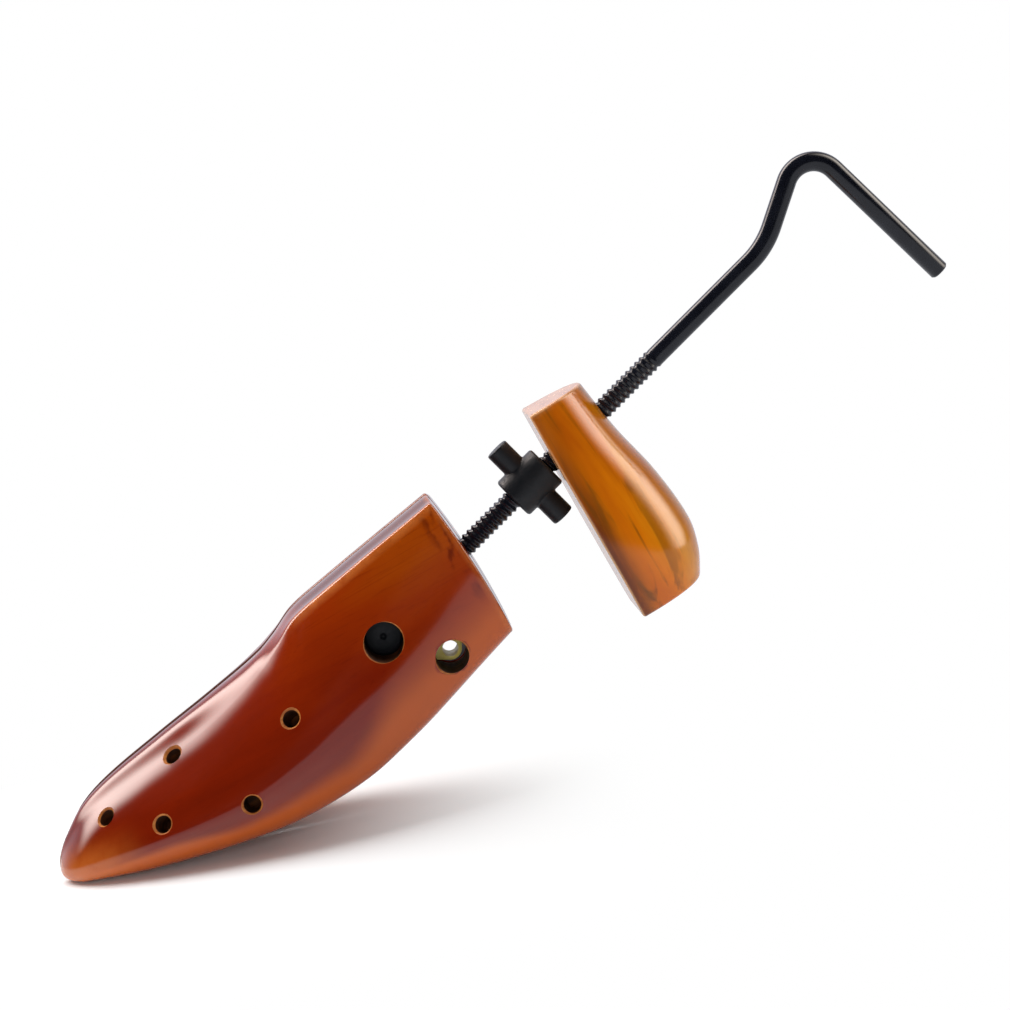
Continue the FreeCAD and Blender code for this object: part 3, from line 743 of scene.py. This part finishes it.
def heelLoops():
    top, edge = heel["depths"][-1][0], heel["edgeRound"]
    turns = [math.radians(turn) for turn in range(0, 91, 15)]
    rounds = [(edge * (1 - math.sin(turn)), edge * (1 - math.cos(turn))) for turn in turns]
    levels = rounds[::-1]  # height and inset of each loop
    levels += [(mix(edge, top - edge, row / heel["rows"]), 0.0) for row in range(1, heel["rows"])]
    levels += [(top - height, inset) for height, inset in rounds]
    loops = [insetLoop(heelLoop(z), inset, Vector((0, 0, -1))) for z, inset in levels]
    return ringsIn(loops[0], heel["endRings"])[::-1] + loops + ringsIn(loops[-1], heel["endRings"])


def makeHeel():
    bm = skinGrid(heelLoops())
    wearLayer = bm.verts.layers.float.new("wear")
    top = heel["depths"][-1][0]
    for vert in bm.verts:
        rim = easeFrom(top, heel["rimBelow"], vert.co.z) * easeFrom(top, heel["rimAbove"], vert.co.z)
        front = easeFrom(heel["gap"], heel["frontDepth"], vert.co.x)
        vert[wearLayer] = max(heel["rimWear"] * rim, heel["frontWear"] * front)
    block = meshObject("heelBlock", settle(bm, footFrame), (amberFinish,))
    carve(block, [cutterObject(plug(*heel["bore"], heel["boreRadius"], heel["boreSteps"]), rodFrame, 1)])
    fit(block, "heel", "amber_lacquered_wood", "heel_block", sharp=40)


makeHeel()


# Crank rod: journal, rolled thread, swan neck and grip, one bent bar

crank = {
    "columns": 32, "pitch": 2.0, "crest": 3.4, "threadFront": -18.0, "threadEnd": 120.3, "chamfer": 0.8,
    "runOut": 1.6, "bar": 3.1, "neckStart": 168.4, "neckLean": 27.0, "neckRadius": 28.0, "neckSteps": 14,
    "gripStation": 200.0, "gripEnd": -44.6, "gripLean": 2.4, "gripRadius": 9.0, "gripSteps": 36, "tipChamfer": 0.6,
    "journal": 2.5, "journalLength": 10.0, "journalChamfer": 0.3, "groove": 1.7, "grooveWidth": 2.3,
    "profile": [(0.0, -0.05), (0.1, 0.0), (0.2, -0.05), (0.5, -0.6), (0.6, -0.64), (0.7, -0.6)],
}


def threadLoops():
    # rows run along the helix, so crests follow the mesh; the ends are held flat
    front, end, pitch = crank["threadFront"], crank["threadEnd"], crank["pitch"]
    turns = math.ceil((end - front) / pitch) + 1
    rows = [(turn + share, depth) for turn in range(-1, turns) for share, depth in crank["profile"]]
    loops = []
    for along, depth in rows:
        loop = []
        for j in range(crank["columns"] + 1):
            share = j / crank["columns"]
            station = min(max(front + pitch * (along + share), front), end)
            radius = min(crank["crest"] + depth, crank["crest"] - crank["chamfer"] + station - front)
            radius = mix(radius, crank["bar"], ease(end - crank["runOut"], end, station))
            angle = 2 * math.pi * share
            loop.append(Vector((station, radius * math.cos(angle), radius * math.sin(angle))))
        loops.append(loop)
    return loops


def ringEdges(verts):
    chosen = set(verts)
    edges = dict.fromkeys(edge for vert in verts for edge in vert.link_edges)  # each once, in order
    return [edge for edge in edges if set(edge.verts) <= chosen]


def runOn(bm, ring, move):
    verts = vertsOf(bmesh.ops.extrude_edge_only(bm, edges=ringEdges(ring))["geom"])
    bmesh.ops.translate(bm, verts=verts, vec=move)
    return verts


def bendOn(bm, ring, centre, axis, degrees, steps):
    made = bmesh.ops.spin(bm, geom=ring + ringEdges(ring), cent=centre, axis=axis, angle=math.radians(degrees),
                          steps=steps, use_duplicate=False)
    return vertsOf(made["geom_last"])


def makeCrank():
    bm = skinGrid(threadLoops(), closed=False)
    front, half = crank["threadFront"], crank["grooveWidth"] / 2
    middle, tip = front - crank["journalLength"] / 2, front - crank["journalLength"]
    journal, groove, cut = crank["journal"], crank["groove"], crank["journalChamfer"]
    profile = [(tip, 0), (tip, journal - cut), (tip + cut, journal), (middle - half, journal),
               (middle - half, groove), (middle + half, groove), (middle + half, journal), (front, journal),
               (front, crank["crest"] - crank["chamfer"])]
    spunProfile(profile, crank["columns"], bm)
    ring = bmesh.ops.create_circle(bm, segments=crank["columns"], radius=crank["bar"])["verts"]
    turnAndMove(bm, ring, "Y", (crank["threadEnd"], 0, 0))
    lean = math.radians(crank["neckLean"])
    neckRun = crank["gripStation"] - crank["neckStart"]
    rise = neckRun * math.tan(lean)
    gripLean = math.radians(crank["gripLean"])
    gripTurn = crank["neckLean"] + 90 - crank["gripLean"]
    neckCut = crank["neckRadius"] * math.tan(lean / 2)
    gripCut = crank["gripRadius"] * math.tan(math.radians(gripTurn / 2))
    neckLength = neckRun / math.cos(lean)
    gripLength = (rise - crank["gripEnd"]) / math.cos(gripLean)
    up = Vector((math.cos(lean), 0, math.sin(lean)))
    down = Vector((math.sin(gripLean), 0, -math.cos(gripLean)))
    bendStart = crank["neckStart"] - neckCut
    ring = runOn(bm, ring, (bendStart - crank["threadEnd"], 0, 0))
    centre = (bendStart, 0, crank["neckRadius"])
    ring = bendOn(bm, ring, centre, (0, -1, 0), crank["neckLean"], crank["neckSteps"])
    ring = runOn(bm, ring, up * (neckLength - neckCut - gripCut))
    gripStart = Vector((crank["gripStation"], 0, rise)) - up * gripCut
    centre = gripStart + Vector((up.z, 0, -up.x)) * crank["gripRadius"]
    ring = bendOn(bm, ring, centre, (0, 1, 0), gripTurn, crank["gripSteps"])
    cut = crank["tipChamfer"]
    ring = runOn(bm, ring, down * (gripLength - gripCut - cut))
    ring = runOn(bm, ring, down * cut)
    end = sum((vert.co for vert in ring), Vector()) / len(ring)
    bmesh.ops.scale(bm, vec=Vector((1, 1, 1)) * (1 - cut / crank["bar"]), verts=ring,
                    space=Matrix.Translation(-end))
    bmesh.ops.holes_fill(bm, edges=ringEdges(ring), sides=0)
    rod = meshObject("crankRod", settle(bm, rodFrame), (blackRod,))
    fit(rod, "crank", "black_rod", "crank_rod", sharp=50)


makeCrank()


# Length nut: a casting, its corners slightly softened

lengthNut = {
    "radius": 7.2, "start": 57.63, "end": 72.63, "chamfer": 0.6, "steps": 72,
    "peg": 3.8, "pegReach": 15.0, "pegRound": 0.45, "pegSteps": 56,
    "bore": 3.3, "boreChamfer": 0.5, "borePast": 2, "boreSteps": 48, "voxel": 0.24, "soften": 3,
}


def makeLengthNut():
    look = lengthNut
    start, end, cut, radius = look["start"], look["end"], look["chamfer"], look["radius"]
    bm = spunProfile([(start, 0), (start, radius - cut), (start + cut, radius), (end - cut, radius),
                      (end, radius - cut), (end, 0)], look["steps"])
    drum = set(bm.verts)
    reach, peg, soft = look["pegReach"], look["peg"], look["pegRound"]
    bend = 0.3 * soft  # the middle point of the peg's rounded edge
    outline = [(-reach, 0), (-reach, peg - soft), (-reach + bend, peg - bend), (-reach + soft, peg)]
    outline += [(-along, radius) for along, radius in outline[::-1]]
    spunProfile(outline, look["pegSteps"], bm)
    pegs = [vert for vert in bm.verts if vert not in drum]
    turnAndMove(bm, pegs, "Y", ((start + end) / 2, 0, 0))
    nut = meshObject("lengthNut", settle(bm, Matrix()))
    remesh = nut.modifiers.new("cast", "REMESH")  # drum and pegs become one skin
    remesh.mode, remesh.voxel_size, remesh.adaptivity = "VOXEL", look["voxel"], 0.0
    bakeModifiers(nut)
    bm = bmesh.new()
    bm.from_mesh(nut.data)
    for step in range(look["soften"]):
        bmesh.ops.smooth_vert(bm, verts=bm.verts, factor=0.5, use_axis_x=True, use_axis_y=True, use_axis_z=True)
    bmesh.ops.transform(bm, matrix=rodFrame, verts=bm.verts)
    bm.to_mesh(nut.data)
    bm.free()
    nut.data.materials.append(blackCasting)
    bore, cut, past = look["bore"], look["boreChamfer"], look["borePast"]
    wide = bore + cut
    cutter = cutterObject(spunProfile([(start - past, 0), (start - past, wide), (start, wide), (start + cut, bore),
                                       (end - cut, bore), (end, wide), (end + past, wide), (end + past, 0)],
                                      look["boreSteps"]), rodFrame, 1)
    cutter.data.materials.clear()
    cutter.data.materials.append(blackCasting)
    carve(nut, [cutter])
    fit(nut, "nut", "black_casting", "length_nut", sharp=45)


makeLengthNut()


# Machined and pressed pieces, with their edges broken

machined = {
    "cross_nut": ("crossNut", "core", "black_casting", blackCasting, 0.15),
    "yoke": ("yokePlate", "core", "yellow_zinc", yellowZinc, 0.12),
    "yoke_spacer": ("yokeSleeve", "core", "yellow_zinc", yellowZinc, 0.08),
    "wedge": ("spreadingWedge", "spreader", "plain_steel", plainSteel, 0.2),
    "swivel_pins": ("swivelPins", "spreader", "plain_steel", plainSteel, 0.12),
    "left_ramp_plate": ("leftRampPlate", "left_half", "plain_steel", plainSteel, 0.1),
    "right_ramp_plate": ("rightRampPlate", "right_half", "plain_steel", plainSteel, 0.1),
    "left_spring_pins": ("leftSpringPins", "left_half", "plain_steel", plainSteel, 0.1),
    "right_spring_pins": ("rightSpringPins", "right_half", "plain_steel", plainSteel, 0.1),
    "guide_pin": ("guidePin", "right_half", "plain_steel", plainSteel, 0.2),
}
edgeAngles = {"flat": 0.4, "crisp": 30}


def brokenEdges(node, name, body, slotName, material, width):
    flat, least = (math.radians(edgeAngles[key]) for key in ("flat", "crisp"))
    bm = bmesh.new()
    bm.from_mesh(nodes[node].data)
    bmesh.ops.remove_doubles(bm, verts=bm.verts, dist=2e-6)
    bmesh.ops.dissolve_limit(bm, angle_limit=flat, verts=bm.verts, edges=bm.edges)
    crisp = [edge for edge in bm.edges if edge.is_manifold and edge.calc_face_angle(0) > least]
    bmesh.ops.bevel(bm, geom=crisp, offset=width * mm, offset_type="OFFSET", segments=2, profile=0.5,
                    affect="EDGES", material=-1, clamp_overlap=True)
    fit(meshObject(name, bm, (material,)), body, slotName, node, sharp=35)


for node, look in machined.items():
    brokenEdges(node, *look)
print("machined pieces:", len(machined))


# Return springs, each wound as two halves, one a side

spring = {"wire": 0.4, "wireSteps": 10, "radius": 2.4, "halfLength": 8.0, "turns": 9, "steps": 16, "loop": 2.0,
          "loopSteps": 28}


def wireSection(bm, x, across, up):
    # the wire's round section at x, facing along the coil or the loop
    ring = bmesh.ops.create_circle(bm, segments=spring["wireSteps"], radius=spring["wire"])["verts"]
    for vert in ring:
        vert.co = Vector((x + vert.co.x, across * vert.co.y, up * vert.co.y))
    return ring + ringEdges(ring)


def makeSpring(name, x, z, sideName, side):
    loop, steps = spring["loop"], spring["turns"] * spring["steps"]
    rise = (spring["halfLength"] - spring["wire"]) / steps
    bm = bmesh.new()
    bmesh.ops.spin(bm, geom=wireSection(bm, spring["radius"], 1, 0), cent=(0, 0, 0), axis=(0, 1, 0),
                   dvec=(0, rise, 0), angle=2 * math.pi * spring["turns"], steps=steps, use_duplicate=False)
    bmesh.ops.holes_fill(bm, edges=[edge for edge in bm.edges if edge.is_boundary], sides=0)
    coil = set(bm.verts)
    bmesh.ops.spin(bm, geom=wireSection(bm, loop, 0, 1), cent=(0, 0, 0), axis=(0, 0, 1), angle=2 * math.pi,
                   steps=spring["loopSteps"], use_merge=True, use_duplicate=False)
    hook = [vert for vert in bm.verts if vert not in coil]
    bmesh.ops.translate(bm, verts=hook, vec=(0, spring["halfLength"] + loop, 0))
    bmesh.ops.translate(bm, verts=bm.verts, vec=(x, 0, z))
    piece = meshObject(f"{name}Spring{sideName}", onSide(settle(bm, footFrame), side), (springSteel,))
    shade(piece, 50)
    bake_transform(piece)
    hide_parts(f"{name}_spring")


for name, place in springPlaces.items():
    makeSpring(name, *place, "Left", -1)
    makeSpring(name, *place, "Right", 1)
print("springs:", len(springPlaces))


# Stage: pale floor that takes the shadow, what the lacquer mirrors, two soft lamps, camera

white = (1, 1, 1, 1)
stage = {
    "size": (0.62, 1.1), "middle": (0.12, 0.0), "slope": 18.0, "under": -0.0376, "paper": (0.92, 0.94), "fibre": 40,
    "glow": 0.02, "shadeMiddle": -0.14, "shadeHalf": (0.03, 0.05), "nearShade": 0.0, "farShade": 0.12,
    "mirrored": (0.80, 0.82, 0.88, 1),
}


def makeFloor():
    # it falls away under the tipped-up part, and turns white past the shadow
    place = Matrix.Translation((0, 0, stage["under"])) @ Matrix.Rotation(math.radians(stage["slope"]), 4, "Y")
    place = place @ Matrix.Translation((*stage["middle"], 0)) @ Matrix.Diagonal((*stage["size"], 1, 1))
    bm = bmesh.new()
    bmesh.ops.create_grid(bm, x_segments=2, y_segments=2, size=1, matrix=place)
    made = Finish("floorPaper", Roughness=0.9, Specular_IOR_Level=0.0)
    fibre = made.noise((stage["fibre"],) * 3, detail=2)
    tones = [(at, (level, level, level, 1)) for at, level in enumerate(stage["paper"])]
    made.link(made.ramp(fibre, tones), "Base Color")
    seen, gloss = made.rays()
    along = made.math("ABSOLUTE", made.math("SUBTRACT", made.axis("X"), stage["shadeMiddle"]))
    across = made.math("ABSOLUTE", made.axis("Y"))
    past = (made.math("SUBTRACT", *pair) for pair in zip((along, across), stage["shadeHalf"]))
    clear = made.span(made.math("MAXIMUM", *past), stage["nearShade"], stage["farShade"])
    light = made.times(seen, made.span(clear, 0.0, 1.0, stage["glow"], 1.0, smooth=False))
    glow = made.add("ShaderNodeEmission", {"Strength": light, "Color": white}).outputs[0]
    pale = made.add("ShaderNodeEmission", {"Color": stage["mirrored"]}).outputs[0]
    pale = made.add("ShaderNodeMixShader", {0: gloss, 2: pale}).outputs[0]
    hidden = made.times(clear, made.math("MAXIMUM", seen, gloss))
    paper = made.mixShaders(hidden, made.shader.outputs[0], pale)
    lit = made.add("ShaderNodeAddShader", {0: paper, 1: glow}).outputs[0]
    # clear from below, so that it never hides the part
    below = made.add("ShaderNodeNewGeometry").outputs["Backfacing"]
    through = made.add("ShaderNodeBsdfTransparent").outputs[0]
    made.toSurface("Material Output", made.mixShaders(below, lit, through))
    floor = meshObject("floor", bm, (made.material,))


# a pale wall behind, a dim room in front, a long soft lamp above and a window at the heel's end
mirrored = {
    "fill": 0.21, "dim": (0.012, 0.012, 0.016, 1), "wall": (1.0, 1.0, 1.15, 1), "level": (0.80, 0.82, 0.90, 1),
    "behind": (0.2, 0.8), "wallFoot": (0.08, 0.26),
    "lamps": {
        "above": {"towards": (-0.22, 0.36, 0.91), "squeeze": (0.27, 1, 0.42), "inner": 0.07, "outer": 0.25,
                  "colour": (12.5, 11.0, 10.2, 1)},
        "window": {"towards": (0.93, -0.06, 0.12), "squeeze": (0.6, 1, 0.40), "inner": 0.05, "outer": 0.48,
                   "colour": (9.5, 8.6, 7.6, 1)},
    },
}


def makeWorld():
    scene.world = bpy.data.worlds.new("studio")
    scene.world.use_nodes = True
    made = Nodes(scene.world.node_tree)
    way = made.add("ShaderNodeTexCoord").outputs["Generated"]
    parts = made.add("ShaderNodeSeparateXYZ", {0: way}).outputs
    wall = made.blend(made.span(parts["Z"], *mirrored["wallFoot"]), mirrored["level"], mirrored["wall"])
    room = made.blend(made.span(parts["Y"], *mirrored["behind"]), mirrored["dim"], wall)
    for look in mirrored["lamps"].values():
        middle = tuple(Vector(look["towards"]).normalized())
        apart = made.add("ShaderNodeVectorMath", {0: way, 1: middle}, operation="SUBTRACT").outputs[0]
        apart = made.add("ShaderNodeVectorMath", {0: apart, 1: look["squeeze"]}, operation="MULTIPLY").outputs[0]
        apart = made.add("ShaderNodeVectorMath", {0: apart}, operation="LENGTH").outputs["Value"]
        room = made.blend(made.span(apart, look["outer"], look["inner"]), room, look["colour"])
    seen, gloss = made.rays()
    ground = made.tree.nodes["Background"]
    made.fill(ground, {"Color": white, "Strength": mirrored["fill"]})
    mirror = made.add("ShaderNodeBackground", {"Color": room}).outputs[0]
    plain = made.add("ShaderNodeBackground", {"Color": white}).outputs[0]
    unseen = made.mixShaders(gloss, ground.outputs[0], mirror)
    made.toSurface("World Output", made.mixShaders(seen, unseen, plain))


lamps = {
    "overhead": {"at": (-0.14, 0.26, 0.88), "to": (-0.04, 0.0, 0.02), "size": (1.1, 0.9), "power": 13.0},
    "front": {"at": (-0.2, -1.35, 0.3), "to": (0.0, 0.0, 0.05), "size": (1.2, 0.6), "power": 6.5},
}


def makeLamps():
    for name, look in lamps.items():
        data = bpy.data.lights.new(name, "AREA")
        data.shape = "RECTANGLE"
        data.size, data.size_y = look["size"]
        data.energy = look["power"]
        lamp = bpy.data.objects.new(name, data)
        lamp.location = look["at"]
        lamp.rotation_euler = (Vector(look["to"]) - Vector(look["at"])).to_track_quat("-Z", "Y").to_euler()
        lamp.visible_camera = lamp.visible_glossy = False
        scene.collection.objects.link(lamp)


camera = {"target": (9.948, 0.0, 49.9), "distance": 700.0, "around": -0.3, "above": 7.0, "roll": 30.0,
          "lens": 79.84, "sensor": 36.0, "clip": (0.01, 20)}


def makeCamera():
    around, above, roll = (math.radians(camera[key]) for key in ("around", "above", "roll"))
    forward = Vector((-math.sin(around) * math.cos(above), math.cos(around) * math.cos(above), -math.sin(above)))
    right = Vector((math.cos(around), math.sin(around), 0))
    up = right.cross(forward)
    across = right * math.cos(roll) - up * math.sin(roll)
    rise = right * math.sin(roll) + up * math.cos(roll)
    data = bpy.data.cameras.new("camera")
    data.sensor_width, data.lens = camera["sensor"], camera["lens"]
    data.clip_start, data.clip_end = camera["clip"]
    made = bpy.data.objects.new("camera", data)
    turn = Matrix((across, rise, -forward)).transposed().to_4x4()
    made.matrix_world = Matrix.Translation((Vector(camera["target"]) - forward * camera["distance"]) * mm) @ turn
    scene.collection.objects.link(made)
    scene.camera = made


makeFloor()
makeWorld()
makeLamps()
makeCamera()
scene.view_settings.view_transform = "Standard"
print("stage ready")
